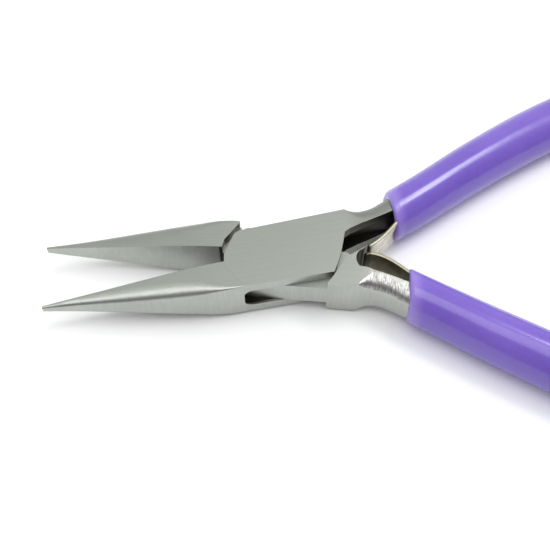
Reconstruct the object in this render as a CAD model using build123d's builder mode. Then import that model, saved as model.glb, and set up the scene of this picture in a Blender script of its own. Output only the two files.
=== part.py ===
from build123d import *
import os

# Chain-nose jeweller's pliers with a box joint, lying open. The tongue half passes through a slot
# in the box half, and both turn on a flush pivot pin.
#
# Frame: the origin is on the pivot axis, at the joint's rear face. +Z is the pivot axis, towards
# the front face. The jaws point along -X and the handles along +X, each half turned by half the
# opening angle. All lengths are in millimetres.
#
# Each half is drawn in its own frame, in which the closed tool has its gripping faces on y = 0.
# "side" is +1 for the box half, whose handle is at +y and whose jaw is at -y, and -1 for the
# tongue half.

# Driving dimensions
open_angle = 15.8          # between the halves at rest, degrees
joint_thick = 8.3          # the tool's thickness at the joint
tongue_thick = 4.4         # the tongue of the tongue half
slot_play = 0.05           # gap between the tongue and each plate
pin_radius = 2.4
pin_play = 0.05            # radial running clearance in the tongue
jaw_gap = 0.12             # gap between the gripping faces when closed
jaw_length = 40.0          # pivot axis to jaw tips
blade_start = -14.1        # the jaws taper in thickness from here to the tips
blade_ease = 5.0           # the taper sets in gently, this far to each side of its start
tip_half_thick = 0.62
jaw_recess = 0.015         # the jaws' faces lie this much below the joint's faces
slot_radius = 9.35         # the slot's end walls, about the pivot axis
tongue_radius = 9.2        # the tongue's ends, about the pivot axis
slot_end_round = 1.3       # rounding of the slot's closed end
box_half_width = 5.55      # half width of the joint at the pivot
box_flare = 0.028          # it widens towards the handles by this much per millimetre
box_end = 11.7             # where each half's full-width block turns into its handle
block_end = 12.3

leaf_thick = 0.6
leaf_width = 5.7
seat_start = (20.5, 4.5)   # the straight inner face of a tang, where the leaf's tail lies
seat_end = (37.0, 10.6)
leaf_lift = 25.0           # the leaf leaves the seat at this x
leaf_tail = 36.0           # and its tail ends at this x
rivet_x = 31.0
rivet_radius = 0.9
rivet_depth = 2.6
rivet_head_radius = 1.6
rivet_head_height = 0.45

grip_end_round = 2.6
grip_rim_round = 0.45

# Jaw sections: x, outer |y|, height of the outer flat, width of the rounded corner
blade_sections = [
    (-jaw_length, 0.50, 0.45, 0.38),
    (-34.0, 1.50, 1.20, 1.15),
    (-26.0, 3.05, 2.60, 2.20),
    (-18.5, 4.45, 4.20, 2.50),
    (blade_start, 5.12, 5.50, 1.95),
]
root_sections = [
    (blade_start, 5.12, 5.50, 1.95),
    (-12.0, 5.32, 6.80, 1.05),
    (-10.2, 5.40, 7.60, 0.50),
    (-7.4, 5.35, 8.10, 0.12),
]

# Shoulder sections: x past the block's end, then inner |y|, outer |y|, height of the outer flat,
# corner width and half thickness
shoulder_sections = [
    (0.0, 2.20, 5.88, 8.16, 0.10, 4.15),
    (0.7, 2.30, 5.84, 6.00, 1.10, 4.15),
    (1.6, 2.45, 5.80, 4.20, 1.85, 4.13),
]
# Handle sections: the same, from the pivot axis
stem_sections = [
    (14.6, 2.75, 5.86, 3.40, 2.60, 4.08),
    (16.4, 3.22, 6.12, 3.30, 2.70, 3.98),
    (18.4, 3.80, 6.95, 3.30, 2.90, 3.80),
    (20.5, 4.50, 8.00, 3.30, 3.20, 3.60),
]
seat_sections = [
    (20.5, 4.50, 8.00, 3.30, 3.20, 3.60),
    (37.0, 10.60, 14.70, 3.00, 2.60, 3.00),
]
tang_sections = [
    (37.0, 10.60, 14.70, 3.00, 2.60, 3.00),
    (50.0, 15.80, 19.50, 2.60, 2.30, 2.80),
    (63.0, 19.10, 22.60, 2.40, 2.10, 2.60),
    (76.0, 20.60, 23.90, 2.20, 2.00, 2.40),
    (84.0, 20.70, 23.50, 2.00, 1.80, 2.20),
]

# Sleeve sections: x, centre |y|, half width along y, half height. The sleeves differ near their
# mouths and are alike further along.
upper_near_sections = [
    (19.8, 5.30, 4.35, 4.60),
    (26.0, 7.75, 4.50, 4.75),
    (37.0, 12.60, 4.70, 4.80),
    (50.0, 17.60, 4.85, 4.80),
]
lower_near_sections = [
    (20.5, 4.72, 4.45, 4.60),
    (26.0, 7.45, 4.52, 4.75),
    (37.0, 12.80, 4.80, 4.80),
    (50.0, 18.40, 4.95, 4.80),
]
far_sections = [
    (63.0, 21.30, 4.80, 4.70),
    (76.0, 22.60, 4.55, 4.55),
    (88.5, 22.10, 4.20, 4.25),
]

# The leaves' free lengths, from the tip to the seat, with y positive towards the own handle
upper_leaf_points = [(14.1, -1.38), (15.7, -0.68), (17.7, 0.56), (20.0, 2.37), (22.4, 4.42)]
lower_leaf_points = [(13.35, -1.00), (14.4, -1.20), (15.6, -1.00), (17.2, -0.35), (19.0, 0.80), (21.0, 2.35)]

os.makedirs("parts", exist_ok=True)

mid = joint_thick / 2
slot_thick = tongue_thick + 2 * slot_play
frame_b = Plane.XY.rotated((0, 0, open_angle / 2))
frame_t = Plane.XY.rotated((0, 0, -open_angle / 2))
seat_slope = (seat_end[1] - seat_start[1]) / (seat_end[0] - seat_start[0])


def joint_edge(x):
    """Distance of the joint's long edges from the centre line."""
    return box_half_width + box_flare * x


def cross_plane(frame, x):
    """Plane square to a half's length: its x runs along the half's y, its y runs up."""
    origin = frame.from_local_coords(Vector(x, 0, mid))
    return Plane(origin=origin, x_dir=frame.y_dir, z_dir=frame.x_dir)


def half_round(side, inner, outer, flat, corner, half_thick):
    """Flat inner side, flat faces, two rounded corners and a narrower flat outer side."""
    inner, outer, edge = side * inner, side * outer, side * (outer - corner)
    with BuildLine() as outline:
        Polyline((edge, -half_thick), (inner, -half_thick), (inner, half_thick), (edge, half_thick))
        Bezier((edge, half_thick), (outer, half_thick), (outer, flat / 2))
        Line((outer, flat / 2), (outer, -flat / 2))
        Bezier((outer, -flat / 2), (outer, -half_thick), (edge, -half_thick))
    make_face(outline.edges())


def jaw_half_thick(x):
    """Half thickness of a jaw: full at its root, tapering to the tip."""
    full = mid - jaw_recess
    slope = (full - tip_half_thick) / (jaw_length + blade_start)
    beyond = blade_start - x
    if beyond < -blade_ease:
        return full
    if beyond > blade_ease:
        return full - slope * beyond
    return full - slope * (beyond + blade_ease) ** 2 / (4 * blade_ease)


def make_jaw(frame, side):
    """The jaw on the far side from the handle: a tapered blade and its root."""
    for sections in (blade_sections, root_sections):
        faces = []
        for x, outer, flat, corner in sections:
            with BuildSketch(cross_plane(frame, x)) as section:
                half_round(-side, jaw_gap / 2, outer, flat, corner, jaw_half_thick(x))
            faces.append(section.sketch)
        loft(faces)


def make_handle(frame, side, start):
    """From the block's end at start: the shoulder, the bare stem and the tang under the sleeve."""
    shoulder = [(start + x, *sizes) for x, *sizes in shoulder_sections] + stem_sections[:1]
    for sections in (shoulder, stem_sections, seat_sections, tang_sections):
        faces = []
        for x, inner, outer, flat, corner, half_thick in sections:
            with BuildSketch(cross_plane(frame, x)) as section:
                half_round(side, inner, outer, flat, corner, half_thick)
            faces.append(section.sketch)
        loft(faces)


def plate_outline():
    """Outline of the box half's plates, from the jaw's root to the handle's root."""
    jaw_corner = (-5.9, joint_edge(-5.9))
    end_low = (7.1, -joint_edge(7.1))
    end_high = (10.04, -0.16)
    with BuildLine() as outline:
        Polyline((-7.5, -joint_edge(-7.5)), (-9.9, -1.0), (-9.9, 0.1), (-9.66, 1.4), (-7.45, 4.75))
        Bezier((-7.45, 4.75), (-7.05, 5.3), jaw_corner)
        Polyline(jaw_corner, (box_end, joint_edge(box_end)), (box_end, 4.0), (13.3, 3.4), (13.5, 2.45),
                 (11.7, 1.93), (10.66, 1.4), end_high)
        ThreePointArc(end_high, (8.8, -2.85), end_low)
        Line(end_low, (-7.5, -joint_edge(-7.5)))
    make_face(outline.edges())


def slot_outline():
    """The slot through the box, and the groove it runs out into along the stem's inner side."""
    reach = slot_radius + 1.5
    Circle(slot_radius)
    with Locations((-reach / 2, reach / 2), (reach / 2, -reach / 2)):
        Rectangle(reach, reach)
    with BuildLine() as outline:
        Polyline((8.5, -0.5), (8.5, 2.8), (11.0, 3.6), (14.0, 4.0), (17.0, 4.2), (20.2, 4.45),
                 (20.2, 3.6), (12.0, 0.8), (10.2, -0.5), close=True)
    make_face(outline.edges())


def root_outline():
    """The tongue half's handle root, with the lip and the rounded notch in its crotch."""
    low_left, low_right = (6.0, -joint_edge(6.0)), (block_end, -joint_edge(block_end))
    with BuildLine() as outline:
        Polyline((6.0, -0.82), low_left, low_right, (block_end, -2.9), (12.62, -2.40))
        Spline((12.62, -2.40), (12.02, -1.50), (11.88, -0.60), (12.10, 0.30), (12.85, 1.02))
        Polyline((12.85, 1.02), (13.62, 1.78), (12.25, 0.74), (10.04, -0.82), (6.0, -0.82))
    make_face(outline.edges())


def gap_outline():
    """Room for the box half's plates: its ends are the shoulders of the tongue half."""
    with BuildLine() as outline:
        Polyline((7.38, -5.8), (7.2, -6.6), (-7.0, -6.6), (-10.15, -1.0), (-10.15, 0.15), (-9.9, 1.5),
                 (-7.72, 4.9), (-7.45, 6.5), (10.35, 6.5), (10.35, -0.2))
        ThreePointArc((10.35, -0.2), (9.08, -2.95), (7.38, -5.8))
    make_face(outline.edges())


def tongue_outline():
    """The tongue: flush with the joint's long edges when closed, round-ended, and webbed to its root."""
    reach = tongue_radius + 1
    Circle(tongue_radius)
    with BuildLine() as outline:
        Polyline((-reach, joint_edge(-reach)), (reach, joint_edge(reach)),
                 (reach, -joint_edge(reach)), (-reach, -joint_edge(-reach)), close=True)
    make_face(outline.edges(), mode=Mode.INTERSECT)
    with BuildLine() as web:
        Polyline((6.5, -2.0), (8.9, 1.6), (10.2, 1.5), (11.3, 0.95), (11.75, 0.15), (11.6, -1.0), close=True)
    make_face(web.edges())


def end_edges(part, radius):
    """The edges of the round wall about the pivot, on the jaws' side."""
    arcs = part.edges().filter_by(GeomType.CIRCLE)
    return arcs.filter_by(lambda edge: abs(edge.radius - radius) < 0.01 and edge.center().X < -5)


def place(frame, side, x, y):
    """Point at mid thickness, from a half's own x and y."""
    return frame.from_local_coords(Vector(x, side * y, mid))


def seat_y(x):
    """Height of the tang's straight inner face."""
    return seat_start[1] + seat_slope * (x - seat_start[0])


def seat_plane(frame, side, x):
    """Plane on the tang's inner face: its z points away from the tang."""
    origin = place(frame, side, x, seat_y(x))
    away = place(frame, side, x + seat_slope, seat_y(x) - 1) - origin
    return Plane(origin=origin, x_dir=(0, 0, 1), z_dir=away)


def make_rivet(plane):
    """Rivet through a leaf's tail into the tang, with a low round head on the leaf."""
    with BuildSketch(plane.offset(-rivet_depth)) as shank:
        Circle(rivet_radius)
    extrude(shank.sketch, amount=rivet_depth + leaf_thick)
    with BuildSketch(plane.offset(leaf_thick)) as head:
        Circle(rivet_head_radius)
    extrude(head.sketch, amount=rivet_head_height)


def make_leaf(frame, side, points):
    """Flat strip: straight along the tang, then curving away to its free end."""
    middle = Vector(seat_slope, -1).normalized() * (leaf_thick / 2)
    tail, lift = (place(frame, side, x + middle.X, seat_y(x) + middle.Y) for x in (leaf_tail, leaf_lift))
    free = [place(frame, side, x, y) for x, y in reversed(points)]
    with BuildLine() as path:
        Line(tail, lift)
        Spline(lift, *free, tangents=[lift - tail, free[-1] - free[-2]])
    with BuildSketch(Plane(origin=tail, x_dir=(0, 0, 1), z_dir=lift - tail)) as section:
        Rectangle(leaf_width, leaf_thick)
    sweep(section.sketch, path=path.line)


def make_grip(frame, side, near_sections):
    """Dipped sleeve: oval sections along the tang, with a round far end and a soft rim."""
    faces = []
    for x, y, half_width, half_height in near_sections + far_sections:
        with BuildSketch(cross_plane(frame, x)) as section:
            with Locations((side * y, 0)):
                Ellipse(half_width, half_height)
        faces.append(section.sketch)
    loft(faces)
    ends = edges().sort_by(Axis(origin=frame.origin, direction=frame.x_dir))
    fillet(ends[-1], grip_end_round)
    fillet(ends[0], grip_rim_round)


# Rivets and leaves
with BuildPart() as upper_spring_rivet:
    make_rivet(seat_plane(frame_b, 1, rivet_x))
upper_spring_rivet.part.label = "upper_spring_rivet"

with BuildPart() as lower_spring_rivet:
    make_rivet(seat_plane(frame_t, -1, rivet_x))
lower_spring_rivet.part.label = "lower_spring_rivet"

with BuildPart() as upper_leaf_spring:
    make_leaf(frame_b, 1, upper_leaf_points)
    add(upper_spring_rivet.part, mode=Mode.SUBTRACT)
upper_leaf_spring.part.label = "upper_leaf_spring"

with BuildPart() as lower_leaf_spring:
    make_leaf(frame_t, -1, lower_leaf_points)
    add(lower_spring_rivet.part, mode=Mode.SUBTRACT)
lower_leaf_spring.part.label = "lower_leaf_spring"

# Pivot pin, ground flush with both faces
with BuildPart() as pivot_pin:
    with BuildSketch(Plane.XY):
        Circle(pin_radius)
    extrude(amount=joint_thick)
pivot_pin.part.label = "pivot_pin"

# Box half: jaw, plates, handle, then the slot and the pin's hole
with BuildPart() as box_half:
    make_jaw(frame_b, 1)
    with BuildSketch(frame_b):
        plate_outline()
    extrude(amount=joint_thick)
    make_handle(frame_b, 1, box_end)
    with BuildSketch(frame_b.offset(mid - slot_thick / 2)):
        slot_outline()
    extrude(amount=slot_thick, mode=Mode.SUBTRACT)
    fillet(end_edges(box_half, slot_radius), slot_end_round)
    with BuildSketch(frame_b):
        Circle(pin_radius)
    extrude(amount=joint_thick, mode=Mode.SUBTRACT)
    add(upper_spring_rivet.part, mode=Mode.SUBTRACT)
box_half.part.label = "box_half"

# Tongue half: full thickness outside the box, and only the tongue between its plates
with BuildPart() as tongue:
    with BuildSketch(frame_t.offset(mid - tongue_thick / 2)):
        tongue_outline()
    extrude(amount=tongue_thick)
    fillet(end_edges(tongue, tongue_radius), slot_end_round)

with BuildPart() as tongue_half:
    make_jaw(frame_t, -1)
    with BuildSketch(frame_t):
        root_outline()
    extrude(amount=joint_thick)
    make_handle(frame_t, -1, block_end)
    for height in (0, mid + tongue_thick / 2):
        with BuildSketch(frame_t.offset(height)):
            gap_outline()
        extrude(amount=mid - tongue_thick / 2, mode=Mode.SUBTRACT)
    add(tongue.part)
    with BuildSketch(frame_t):
        Circle(pin_radius + pin_play)
    extrude(amount=joint_thick, mode=Mode.SUBTRACT)
    add(lower_spring_rivet.part, mode=Mode.SUBTRACT)
tongue_half.part.label = "tongue_half"

# Sleeves, dipped over the tangs, the leaves' tails and the rivets
with BuildPart() as upper_grip:
    make_grip(frame_b, 1, upper_near_sections)
    for inside in (box_half, upper_leaf_spring, upper_spring_rivet):
        add(inside.part, mode=Mode.SUBTRACT)
upper_grip.part.label = "upper_grip"

with BuildPart() as lower_grip:
    make_grip(frame_t, -1, lower_near_sections)
    for inside in (tongue_half, lower_leaf_spring, lower_spring_rivet):
        add(inside.part, mode=Mode.SUBTRACT)
lower_grip.part.label = "lower_grip"

export_step(box_half.part, "parts/box_half.step")
export_step(tongue_half.part, "parts/tongue_half.step")
export_step(pivot_pin.part, "parts/pivot_pin.step")
export_step(upper_leaf_spring.part, "parts/upper_leaf_spring.step")
export_step(lower_leaf_spring.part, "parts/lower_leaf_spring.step")
export_step(upper_spring_rivet.part, "parts/upper_spring_rivet.step")
export_step(lower_spring_rivet.part, "parts/lower_spring_rivet.step")
export_step(upper_grip.part, "parts/upper_grip.step")
export_step(lower_grip.part, "parts/lower_grip.step")
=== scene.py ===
import math

import bmesh
import bpy
from mathutils import Matrix, Vector


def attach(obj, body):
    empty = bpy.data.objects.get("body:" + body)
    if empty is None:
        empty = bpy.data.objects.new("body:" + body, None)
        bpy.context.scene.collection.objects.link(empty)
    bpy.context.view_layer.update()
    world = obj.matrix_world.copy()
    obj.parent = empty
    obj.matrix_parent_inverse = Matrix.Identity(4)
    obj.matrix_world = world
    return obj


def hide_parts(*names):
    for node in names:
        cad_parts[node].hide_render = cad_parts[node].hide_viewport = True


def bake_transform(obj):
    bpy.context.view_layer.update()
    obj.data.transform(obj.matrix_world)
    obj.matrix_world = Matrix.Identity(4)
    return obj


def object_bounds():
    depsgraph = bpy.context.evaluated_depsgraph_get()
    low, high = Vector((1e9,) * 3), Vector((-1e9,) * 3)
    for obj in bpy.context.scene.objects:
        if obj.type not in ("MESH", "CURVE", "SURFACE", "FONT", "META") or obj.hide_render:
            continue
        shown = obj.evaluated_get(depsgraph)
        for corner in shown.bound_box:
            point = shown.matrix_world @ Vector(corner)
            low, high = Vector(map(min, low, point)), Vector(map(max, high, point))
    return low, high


# Chain-nose jeweller's pliers: satin steel halves in a box joint, two leaf springs, and purple
# dipped sleeves on the handles. The tables are in millimetres, in each half's own frame: x runs
# from the pivot to the handle's end, y grows towards that half's handle, z is up from mid thickness.
# side is +1 for the box half, whose handle is at +y, and -1 for the tongue half.

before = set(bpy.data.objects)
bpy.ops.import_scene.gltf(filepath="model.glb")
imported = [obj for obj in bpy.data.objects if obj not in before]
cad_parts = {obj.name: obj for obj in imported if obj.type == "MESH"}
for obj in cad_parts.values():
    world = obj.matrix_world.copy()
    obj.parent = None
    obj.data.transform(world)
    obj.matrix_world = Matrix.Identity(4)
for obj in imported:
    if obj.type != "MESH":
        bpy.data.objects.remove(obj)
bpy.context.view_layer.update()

MM = 0.001
HALF_ANGLE = math.radians(15.8 / 2)   # each half is turned by half the opening
MID = 4.15                            # mid thickness of the joint
JOINT_CENTRE = Vector((0, 0, MID * MM))

# Sleeve sections: x, centre y, half width, half height
NEAR_SECTIONS = {
    1: [(19.8, 5.30, 4.35, 4.60), (26.0, 7.75, 4.50, 4.75),
        (37.0, 12.60, 4.70, 4.80), (50.0, 17.60, 4.85, 4.80)],
    -1: [(20.5, 4.72, 4.45, 4.60), (26.0, 7.45, 4.52, 4.75),
         (37.0, 12.80, 4.80, 4.80), (50.0, 18.40, 4.95, 4.80)],
}
FAR_SECTIONS = [(63.0, 21.30, 4.80, 4.70), (76.0, 22.60, 4.55, 4.55), (88.5, 22.10, 4.20, 4.25)]
SKIN = 0.06                           # the visible sleeve is this much slimmer than its sections
RIM_ROUND = 0.75                      # the sleeve's rolled lip
LIP_DEPTH = 2.2                       # how far its inside shows
TIP_ROUND = 3.6                       # length of the sleeve's domed end
RING_POINTS = 72
LIP_STEPS, BODY_STEPS, DOME_STEPS = 10, 60, 12

# Middle of each leaf, from its tip to the end of its tail: x, y
LEAF_TAIL = [(25.1, 5.88), (31.1, 8.10)]
LEAF_POINTS = {
    1: [(14.1, -1.38), (15.7, -0.68), (17.7, 0.56), (20.0, 2.37), (22.4, 4.42)] + LEAF_TAIL,
    -1: [(13.35, -1.00), (14.4, -1.20), (15.6, -1.00),
         (17.2, -0.35), (19.0, 0.80), (21.0, 2.35)] + LEAF_TAIL,
}
LEAF_THICK = 0.6
LEAF_WIDTH = 5.7
LEAF_CORNER = 0.4                     # radius of the corners at its tip
LEAF_STEPS = 60
EDGE_STEPS = 4                        # faces across one rounded long edge


def own_frame(side):
    """Matrix from a half's own frame, in millimetres, to the row frame, in metres."""
    turn = Matrix.Rotation(side * HALF_ANGLE, 4, "Z")
    lift = Matrix.Translation((0, 0, MID * MM))
    return lift @ turn @ Matrix.Diagonal((MM, side * MM, MM, 1))


# Curves and meshes ----------------------------------------------------------------------------------

def smooth_value(xs, values, x):
    """Value at x on a smooth curve through the points (xs, values)."""
    i = min(max(sum(1 for known in xs if known <= x) - 1, 0), len(xs) - 2)
    slopes = []
    for j in (i, i + 1):
        low, high = max(j - 1, 0), min(j + 1, len(xs) - 1)
        slopes.append((values[high] - values[low]) / (xs[high] - xs[low]))
    span = xs[i + 1] - xs[i]
    t = (x - xs[i]) / span
    return (values[i] * (1 + 2 * t) * (1 - t) ** 2 + values[i + 1] * t * t * (3 - 2 * t)
            + span * (slopes[0] * t * (1 - t) ** 2 - slopes[1] * t * t * (1 - t)))


def mesh_object(name, rings, side):
    """Closed tube through rings of points given in a half's own frame."""
    bm = bmesh.new()
    place = own_frame(side)
    rows = [[bm.verts.new(place @ Vector(point)) for point in ring] for ring in rings]
    count = len(rows[0])
    for a, b in zip(rows, rows[1:]):
        for i in range(count):
            bm.faces.new((a[i], a[(i + 1) % count], b[(i + 1) % count], b[i]))
    for row in (rows[0], rows[-1]):
        bm.faces.new(row)
    bmesh.ops.recalc_face_normals(bm, faces=bm.faces)
    mesh = bpy.data.meshes.new(name)
    bm.to_mesh(mesh)
    bm.free()
    mesh.polygons.foreach_set("use_smooth", [True] * len(mesh.polygons))
    piece = bpy.data.objects.new(name, mesh)
    bpy.context.scene.collection.objects.link(piece)
    return piece


def oval(x, y, half_width, half_height):
    """Ring of a sleeve, square to the half's length."""
    turns = (2 * math.pi * i / RING_POINTS for i in range(RING_POINTS))
    return [(x, y + half_width * math.cos(a), half_height * math.sin(a)) for a in turns]


def sleeve(name, side):
    """Dipped sleeve: a rolled lip round the stem, a long oval body and a domed end."""
    sections = NEAR_SECTIONS[side] + FAR_SECTIONS
    xs, ys, widths, heights = (list(column) for column in zip(*sections))
    mouth, end = xs[0], xs[-1]

    def at(x, inset):
        """Ring at x, drawn in by inset."""
        half_width = smooth_value(xs, widths, x)
        half_height = smooth_value(xs, heights, x)
        inset += SKIN
        return oval(x, smooth_value(xs, ys, x), half_width - inset, half_height - inset)

    rings = [at(mouth + LIP_DEPTH, 2 * RIM_ROUND), at(mouth + RIM_ROUND, 2 * RIM_ROUND)]
    for i in range(LIP_STEPS + 1):
        a = math.pi * i / LIP_STEPS
        rings.append(at(mouth + RIM_ROUND * (1 - math.sin(a)), RIM_ROUND * (1 + math.cos(a))))
    body_start, body_end = mouth + 2 * RIM_ROUND, end - TIP_ROUND
    for i in range(BODY_STEPS + 1):
        rings.append(at(body_start + (body_end - body_start) * i / BODY_STEPS, 0.0))
    for i in range(1, DOME_STEPS):
        a = 0.5 * math.pi * i / DOME_STEPS
        keep = math.cos(a) ** 0.8
        x = body_end + TIP_ROUND * math.sin(a)
        half_width = smooth_value(xs, widths, x) - SKIN
        half_height = smooth_value(xs, heights, x) - SKIN
        rings.append(oval(x, smooth_value(xs, ys, x), half_width * keep, half_height * keep))
    return mesh_object(name, rings, side)


def leaf(name, side):
    """Spring leaf: a thin strip with rounded long edges, whose tip lies between the handles."""
    points = [Vector((x, y, 0)) for x, y in LEAF_POINTS[side]]
    lengths = [0.0]
    for a, b in zip(points, points[1:]):
        lengths.append(lengths[-1] + (b - a).length)
    edge = 0.5 * LEAF_THICK
    path = []
    for i in range(LEAF_STEPS + 1):
        s = lengths[-1] * i / LEAF_STEPS
        path.append(Vector((smooth_value(lengths, [p.x for p in points], s),
                            smooth_value(lengths, [p.y for p in points], s), 0)))
    rings = []
    for i, centre in enumerate(path):
        along = (path[min(i + 1, LEAF_STEPS)] - path[max(i - 1, 0)]).normalized()
        across = Vector((-along.y, along.x, 0))
        to_go = max(0.0, LEAF_CORNER - lengths[-1] * i / LEAF_STEPS)
        narrow = LEAF_CORNER - math.sqrt(max(0.0, LEAF_CORNER ** 2 - to_go ** 2))
        half_width = 0.5 * LEAF_WIDTH - narrow
        ring = []
        for end in (1, -1):
            for j in range(EDGE_STEPS + 1):
                a = math.pi * (j / EDGE_STEPS - 0.5)
                up = end * (half_width - 0.6 * edge + 0.6 * edge * math.cos(a))
                ring.append(centre + across * (end * edge * math.sin(a)) + Vector((0, 0, up)))
        rings.append(ring)
    return mesh_object(name, rings, side)


# Materials ------------------------------------------------------------------------------------------

class Material:
    """One node material, and short ways to add and link its nodes."""

    def __init__(self, name):
        self.data = bpy.data.materials.new(name)
        self.data.use_nodes = True
        self.tree = self.data.node_tree
        self.tree.nodes.clear()
        self.coordinates = self.tree.nodes.new("ShaderNodeTexCoord").outputs

    def put(self, socket, value):
        if isinstance(value, bpy.types.NodeSocket):
            self.tree.links.new(value, socket)
        else:
            socket.default_value = value

    def add(self, kind, inputs, **settings):
        node = self.tree.nodes.new(kind)
        for key, value in settings.items():
            setattr(node, key, value)
        for key, value in inputs.items():
            self.put(node.inputs[key], value)
        return node

    def points(self, turn=0.0, scale=(1, 1, 1)):
        """Object coordinates, turned about Z into a half's own frame, then scaled."""
        inputs = {"Vector": self.coordinates["Object"], "Rotation": (0, 0, -turn)}
        turned = self.add("ShaderNodeMapping", inputs).outputs[0]
        return self.add("ShaderNodeMapping", {"Vector": turned, "Scale": scale}).outputs[0]

    def noise(self, vector, scale=1.0, detail=3.0, rough=0.5):
        inputs = {"Vector": vector, "Scale": scale, "Detail": detail, "Roughness": rough}
        return self.add("ShaderNodeTexNoise", inputs).outputs["Fac"]

    def spread(self, value, low, high, to_low=0.0, to_high=1.0):
        """Value from low to high, eased to to_low .. to_high."""
        inputs = {0: value, 1: low, 2: high, 3: to_low, 4: to_high}
        return self.add("ShaderNodeMapRange", inputs, interpolation_type="SMOOTHSTEP").outputs[0]

    def math(self, operation, a, b=0.0):
        return self.add("ShaderNodeMath", {0: a, 1: b}, operation=operation).outputs[0]

    def mix(self, factor, a, b):
        return self.add("ShaderNodeMix", {0: factor, 6: a, 7: b}, data_type="RGBA").outputs[2]

    def mix_value(self, factor, a, b):
        return self.add("ShaderNodeMix", {0: factor, 2: a, 3: b}, data_type="FLOAT").outputs[0]

    def bump(self, height, strength, distance):
        inputs = {"Height": height, "Strength": strength, "Distance": distance}
        return self.add("ShaderNodeBump", inputs).outputs[0]

    def finish(self, inputs):
        shader = self.add("ShaderNodeBsdfPrincipled", inputs)
        self.add("ShaderNodeOutputMaterial", {"Surface": shader.outputs[0]})
        return self.data


def steel(name, side):
    """Satin steel: faces brushed along the half, side walls and rounded stem ground across it."""
    m = Material(name)
    turn = side * HALF_ANGLE
    normal = m.add("ShaderNodeSeparateXYZ", {"Vector": m.coordinates["Normal"]})
    level = m.math("ABSOLUTE", normal.outputs["Z"])
    own = m.add("ShaderNodeSeparateXYZ", {"Vector": m.points(turn, (1 / MM, side / MM, 1 / MM))})
    x, y, z = own.outputs

    def within(value, low, high, soft):
        """1 where the value lies between low and high, fading to 0 over soft outside them."""
        rise, fall = m.spread(value, low - soft, low), m.spread(value, high + soft, high)
        return m.math("MULTIPLY", rise, fall)

    # facing_up covers the flat faces, rounded the ground part of the stem
    facing_up = m.spread(level, 0.80, 0.97)
    steepest = 0.985 if side < 0 else 0.80
    rounded = m.math("MULTIPLY", within(level, 0.30, steepest, 0.02), m.spread(x, 12.4, 12.9))
    along = m.noise(m.points(turn, (60, 5200, 900)), 1.0, 4.0, 0.62)
    across = m.noise(m.points(turn, (3600, 420, 260)), 1.0, 4.0, 0.62)
    marks = m.noise(m.points(turn, (4800, 1300, 1300)), 1.0, 4.0, 0.62)
    grain = m.mix_value(rounded, m.mix_value(facing_up, across, along), marks)
    cloud = m.noise(m.points(turn, (160, 260, 260)), 1.0, 3.0, 0.55)
    shade = m.math("ADD", m.math("MULTIPLY", grain, 0.6), m.math("MULTIPLY", cloud, 0.4))
    face_tone = m.spread(shade, 0.30, 0.70)
    colour = m.mix(face_tone, (0.420, 0.437, 0.405, 1), (0.480, 0.497, 0.465, 1))
    # Painted shade: the faces that look up are darkened a little against the light falling on them
    colour = m.mix(m.math("MULTIPLY", facing_up, 0.16), colour, (0.02, 0.02, 0.02, 1))
    worn = m.mix(m.spread(marks, 0.36, 0.64), (0.25, 0.24, 0.235, 1), (0.50, 0.49, 0.475, 1))
    colour = m.mix(rounded, colour, worn)

    # Painted shade: dull olive on the upright walls beside the slot or in the notch, where shade
    # falls. The upper stem is made darker.
    upright = m.spread(level, 0.5, 0.3)
    if side > 0:
        wall_shade = m.math("MULTIPLY", within(x, 9.5, 20.0, 0.5), within(y, -0.2, 4.6, 0.1))
        wall_shade = m.math("MULTIPLY", wall_shade, upright)
        wall_shade = m.math("MULTIPLY", wall_shade, m.spread(z, MID, MID + 1.0, 0.35, 1.0))
    else:
        wall_shade = m.math("MULTIPLY", within(x, 11.6, 13.7, 0.1), within(y, -1.9, 2.6, 0.1))
        wall_shade = m.math("MULTIPLY", wall_shade, upright)
    colour = m.mix(wall_shade, colour, (0.165, 0.155, 0.115, 1))
    if side > 0:
        stem = m.math("MULTIPLY", m.spread(x, 11.0, 14.5, 0.0, 0.30), m.spread(y, 0.0, 2.0))
        colour = m.mix(stem, colour, (0.12, 0.125, 0.105, 1))

    # Nearly black inside the slot and in the gaps at the joint's ends: dark oxide, and painted shade
    # in these recesses between the parts
    gap = m.math("ABSOLUTE", x)
    gap = m.math("MULTIPLY", within(gap, 7.0, 10.6, 0.1), within(y, -5.1, 5.1, 0.1))
    oxide_and_shade = m.math("MULTIPLY", gap, upright)
    if side > 0:
        height = m.math("SUBTRACT", z, MID)
        inside = m.math("MULTIPLY", within(height, -2.3, 2.3, 0.06), within(y, -4.9, 4.9, 0.3))
        inside = m.math("MULTIPLY", inside, within(x, -9.8, 21.0, 0.15))
        oxide_and_shade = m.math("MAXIMUM", inside, oxide_and_shade)
    colour = m.mix(oxide_and_shade, colour, (0.055, 0.052, 0.045, 1))

    face_rough = m.spread(shade, 0.30, 0.70, 0.40, 0.33)
    roughness = m.mix_value(rounded, face_rough, m.spread(marks, 0.36, 0.64, 0.50, 0.38))
    strength = m.mix_value(rounded, 0.16, 0.40)
    return m.finish({"Base Color": colour, "Metallic": 1.0, "Roughness": roughness,
                     "Normal": m.bump(grain, strength, 0.00003)})


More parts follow.
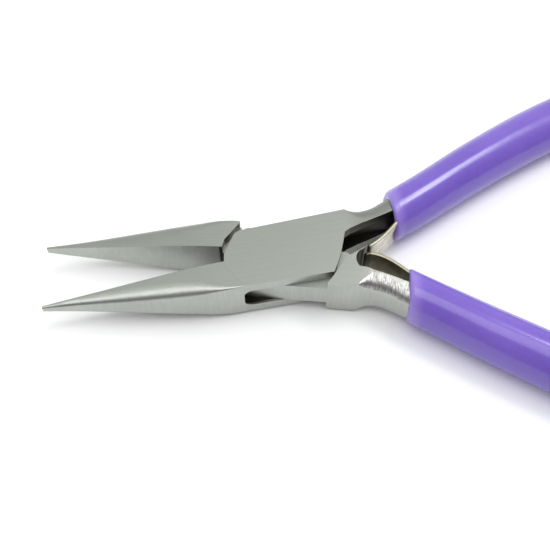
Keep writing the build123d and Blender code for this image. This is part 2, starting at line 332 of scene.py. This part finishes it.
def spring_metal(name, dark, light):
    """Spring steel mottled between two tones, with painted light on its narrow upward edge and
    painted shade darkening its tip.
    """
    m = Material(name)
    normal = m.add("ShaderNodeSeparateXYZ", {"Vector": m.coordinates["Normal"]})
    place = m.add("ShaderNodeSeparateXYZ", {"Vector": m.coordinates["Object"]})
    mottle = m.noise(m.points(0.0, (420, 420, 420)), 1.0, 5.0, 0.6)
    fine = m.noise(m.points(0.0, (3000, 3000, 500)), 1.0, 3.0, 0.5)
    colour = m.mix(m.spread(mottle, 0.35, 0.65), dark, light)
    # Painted light: the narrow edge facing up is painted one fixed tone
    colour = m.mix(m.spread(normal.outputs["Z"], 0.35, 0.80), colour, (0.44, 0.42, 0.315, 1))
    # Painted shade: the tip, deep in the notch, is darkened
    tip = m.spread(place.outputs["X"], 14.6 * MM, 14.2 * MM)
    colour = m.mix(tip, colour, (0.15, 0.14, 0.105, 1))
    roughness = m.spread(fine, 0.3, 0.7, 0.50, 0.38)
    return m.finish({"Base Color": colour, "Metallic": 1.0, "Roughness": roughness,
                     "Normal": m.bump(fine, 0.2, 0.00002)})


def vinyl(name, side):
    """Glossy purple dipped vinyl: faint clouding, ripple and orange peel, and a paler mouth rim that
    is a painted highlight.
    """
    m = Material(name)
    own = m.points(side * HALF_ANGLE, (1 / MM, 1 / MM, 1 / MM))
    x = m.add("ShaderNodeSeparateXYZ", {"Vector": own}).outputs["X"]
    cloud = m.noise(m.points(0.0, (90, 90, 90)), 1.0, 3.0, 0.5)
    speck = m.noise(m.points(0.0, (1500, 1500, 1500)), 1.0, 2.0, 0.5)
    shade = m.math("ADD", m.math("MULTIPLY", cloud, 0.8), m.math("MULTIPLY", speck, 0.2))
    colour = m.mix(m.spread(shade, 0.35, 0.65), (0.170, 0.098, 0.520, 1), (0.198, 0.118, 0.570, 1))
    mouth = NEAR_SECTIONS[side][0][0]
    # Painted highlight: the rim at the mouth is made paler
    colour = m.mix(m.spread(x, mouth + 2.6, mouth + 0.3, 0.0, 0.7), colour, (0.36, 0.26, 0.72, 1))
    ripple = m.noise(m.points(0.0, (160, 160, 160)), 1.0, 2.0, 0.4)
    height = m.math("ADD", ripple, m.math("MULTIPLY", speck, 0.04))
    return m.finish({"Base Color": colour, "Roughness": 0.22, "IOR": 1.5,
                     "Coat Weight": 0.3, "Coat Roughness": 0.10,
                     "Subsurface Weight": 0.15, "Subsurface Radius": (0.4, 0.3, 1.0),
                     "Subsurface Scale": 0.001, "Normal": m.bump(height, 0.2, 0.0003)})


def cover(node, material):
    """Gives a CAD node one material."""
    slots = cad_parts[node].data.materials
    slots.clear()
    slots.append(material)


box_steel = steel("box_half_steel", 1)
tongue_steel = steel("tongue_half_steel", -1)
springs = {
    1: spring_metal("upper_spring_steel", (0.56, 0.54, 0.44, 1), (0.80, 0.78, 0.68, 1)),
    # Both leaves are one spring steel; the lower leaf's dark olive tones are painted shade and a
    # painted reflection of its dark surroundings, with some oil stain
    -1: spring_metal("lower_spring_steel", (0.20, 0.175, 0.115, 1), (0.34, 0.315, 0.235, 1)),
}
sleeves = {1: vinyl("upper_purple_vinyl", 1), -1: vinyl("lower_purple_vinyl", -1)}
for node in ("box_half", "pivot_pin"):
    cover(node, box_steel)
cover("tongue_half", tongue_steel)
cover("upper_spring_rivet", springs[1])
cover("lower_spring_rivet", springs[-1])

# Sleeves and leaves, in place of their CAD nodes ----------------------------------------------------

for side, place, body in ((1, "upper", "box_side"), (-1, "lower", "tongue_side")):
    grip = sleeve(place + "_sleeve", side)
    grip.data.materials.append(sleeves[side])
    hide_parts(place + "_grip")
    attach(grip, body)

# Each leaf stays in the row frame, attached to neither half.
for side, place, own, other in ((1, "upper", "box_side", "tongue_side"),
                                (-1, "lower", "tongue_side", "box_side")):
    spring = leaf(place + "_leaf", side)
    spring.data.materials.append(springs[side])
    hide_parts(place + "_leaf_spring")
    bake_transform(spring)

# Floor, light and camera ----------------------------------------------------------------------------

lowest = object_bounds()[0][2]
bpy.ops.mesh.primitive_plane_add(size=6.0, location=(0, 0, lowest))
floor = bpy.context.object
floor.name = "floor"
pale = Material("pale_floor").finish({"Base Color": (0.93, 0.93, 0.93, 1), "Roughness": 0.6,
                                      "Emission Color": (1, 1, 1, 1), "Emission Strength": 0.05})
floor.data.materials.append(pale)


def studio_world():
    """Soft tent: light on the far side, dim on the camera's side."""
    world = bpy.data.worlds.new("studio")
    world.use_nodes = True
    tree = world.node_tree
    direction = tree.nodes.new("ShaderNodeTexCoord").outputs["Generated"]
    parts = tree.nodes.new("ShaderNodeSeparateXYZ")
    tree.links.new(direction, parts.inputs[0])
    front = tree.nodes.new("ShaderNodeMapRange")
    front.interpolation_type = "SMOOTHSTEP"
    for socket, value in ((1, 0.15), (2, -0.45), (3, 0.0), (4, 1.0)):
        front.inputs[socket].default_value = value
    tree.links.new(parts.outputs["Y"], front.inputs[0])
    shade = tree.nodes.new("ShaderNodeMix")
    shade.data_type = "RGBA"
    tree.links.new(front.outputs[0], shade.inputs[0])
    shade.inputs[6].default_value = (0.78, 0.80, 0.78, 1)
    shade.inputs[7].default_value = (0.28, 0.28, 0.29, 1)
    tree.links.new(shade.outputs[2], tree.nodes["Background"].inputs[0])
    bpy.context.scene.world = world


def softbox(name, direction, distance, width, height, radiance):
    """Area light at a distance from the joint, facing it."""
    data = bpy.data.lights.new(name, "AREA")
    data.shape = "RECTANGLE"
    data.size, data.size_y = width, height
    data.energy = radiance * math.pi * width * height
    light = bpy.data.objects.new(name, data)
    bpy.context.scene.collection.objects.link(light)
    away = Vector(direction).normalized()
    light.location = JOINT_CENTRE + away * distance
    light.rotation_euler = away.to_track_quat("Z", "Y").to_euler()


studio_world()
softbox("overhead_light", (0.0, -0.12, 1.0), 0.7, 0.90, 0.42, 2.1)
softbox("streak_light", (0.45, 0.19, 0.87), 0.8, 0.32, 0.15, 11.0)
bpy.context.scene.view_settings.view_transform = "Standard"

camera_data = bpy.data.cameras.new("camera")
camera_data.lens = 55.64
camera_data.sensor_width = 36.0
camera_data.shift_x = -0.01579
camera_data.shift_y = -0.02083
camera_data.clip_start = 0.005
camera = bpy.data.objects.new("camera", camera_data)
bpy.context.scene.collection.objects.link(camera)
ELEVATION, AZIMUTH, DISTANCE = math.radians(57.853), math.radians(-4.339), 0.14241
back = Vector((math.sin(AZIMUTH) * math.cos(ELEVATION),
               -math.cos(AZIMUTH) * math.cos(ELEVATION),
               math.sin(ELEVATION)))
right = Vector((math.cos(AZIMUTH), math.sin(AZIMUTH), 0))
basis = Matrix((right, back.cross(right), back)).transposed().to_4x4()
camera.matrix_world = Matrix.Translation(back * DISTANCE + JOINT_CENTRE) @ basis
bpy.context.scene.camera = camera
